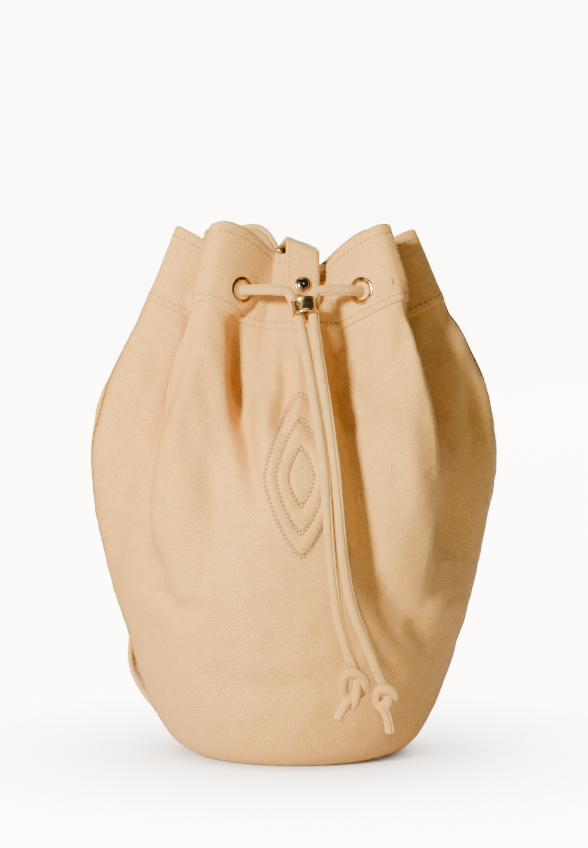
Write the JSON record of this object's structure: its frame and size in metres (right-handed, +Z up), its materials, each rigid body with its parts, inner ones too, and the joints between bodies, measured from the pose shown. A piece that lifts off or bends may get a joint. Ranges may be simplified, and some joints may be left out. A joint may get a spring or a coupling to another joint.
{
  "type": "bucket bag",
  "caption": "Soft leather bucket bag with a drawstring mouth, brass eyelets, cord slider, snap closure tab, knotted cord ends and two shoulder straps",
  "frame": {"origin": "middle of the flat base, on the surface that the bag stands on", "axes": "+Z up, the front with the closure tab faces -Y, +X to the right of someone facing the front"},
  "size_m": [0.2445, 0.2084, 0.3219],
  "materials": {
    "leather": "pebbled, satin",
    "leather_inside": "smooth, matte",
    "lining": "woven cotton, matte",
    "cord_leather": "smooth, satin",
    "board": "matte",
    "gold_metal": "polished"
  },
  "bodies": {
    "bag": {"band_back": "leather", "band_front": "leather", "base_board": "board", "base_panel": "leather", "body_back": "leather", "body_front": "leather", "closure_tab_root": "leather", "drawstring_left": "cord_leather", "drawstring_loop": "cord_leather", "drawstring_right": "cord_leather", "eyelet_01": "gold_metal", "eyelet_02": "gold_metal", "eyelet_03": "gold_metal", "eyelet_04": "gold_metal", "eyelet_05": "gold_metal", "eyelet_06": "gold_metal", "eyelet_07": "gold_metal", "eyelet_08": "gold_metal", "eyelet_09": "gold_metal", "eyelet_10": "gold_metal", "eyelet_11": "gold_metal", "eyelet_12": "gold_metal", "eyelet_washers": "gold_metal", "facing_back": "leather_inside", "facing_front": "leather_inside", "knot_left": "cord_leather", "knot_right": "cord_leather", "lining_back": "lining", "lining_base": "lining", "lining_front": "lining", "shoulder_strap_left": "leather", "shoulder_strap_right": "leather", "side_piping_left": "leather", "side_piping_right": "leather", "snap_post": "gold_metal", "snap_stud": "gold_metal", "strap_anchor": "leather", "strap_foot_left": "leather", "strap_foot_right": "leather", "tab_rivet": "gold_metal"},
    "slider": {"cord_slider": "gold_metal"},
    "tab": {"closure_tab": "leather", "snap_cap": "gold_metal", "snap_socket": "gold_metal"}
  },
  "joints": [
    {"name": "slider_slide", "type": "slide", "parent": "bag", "child": "slider", "axis": [0.154, -0.4463, -0.8815], "range_m": [0, 0.056]},
    {"name": "tab_lift", "type": "hinge", "parent": "bag", "child": "tab", "pos_m": [0.0042, -0.02664, 0.30657], "axis": [-1, 0, 0], "range_deg": [0, 8]}
  ]
}
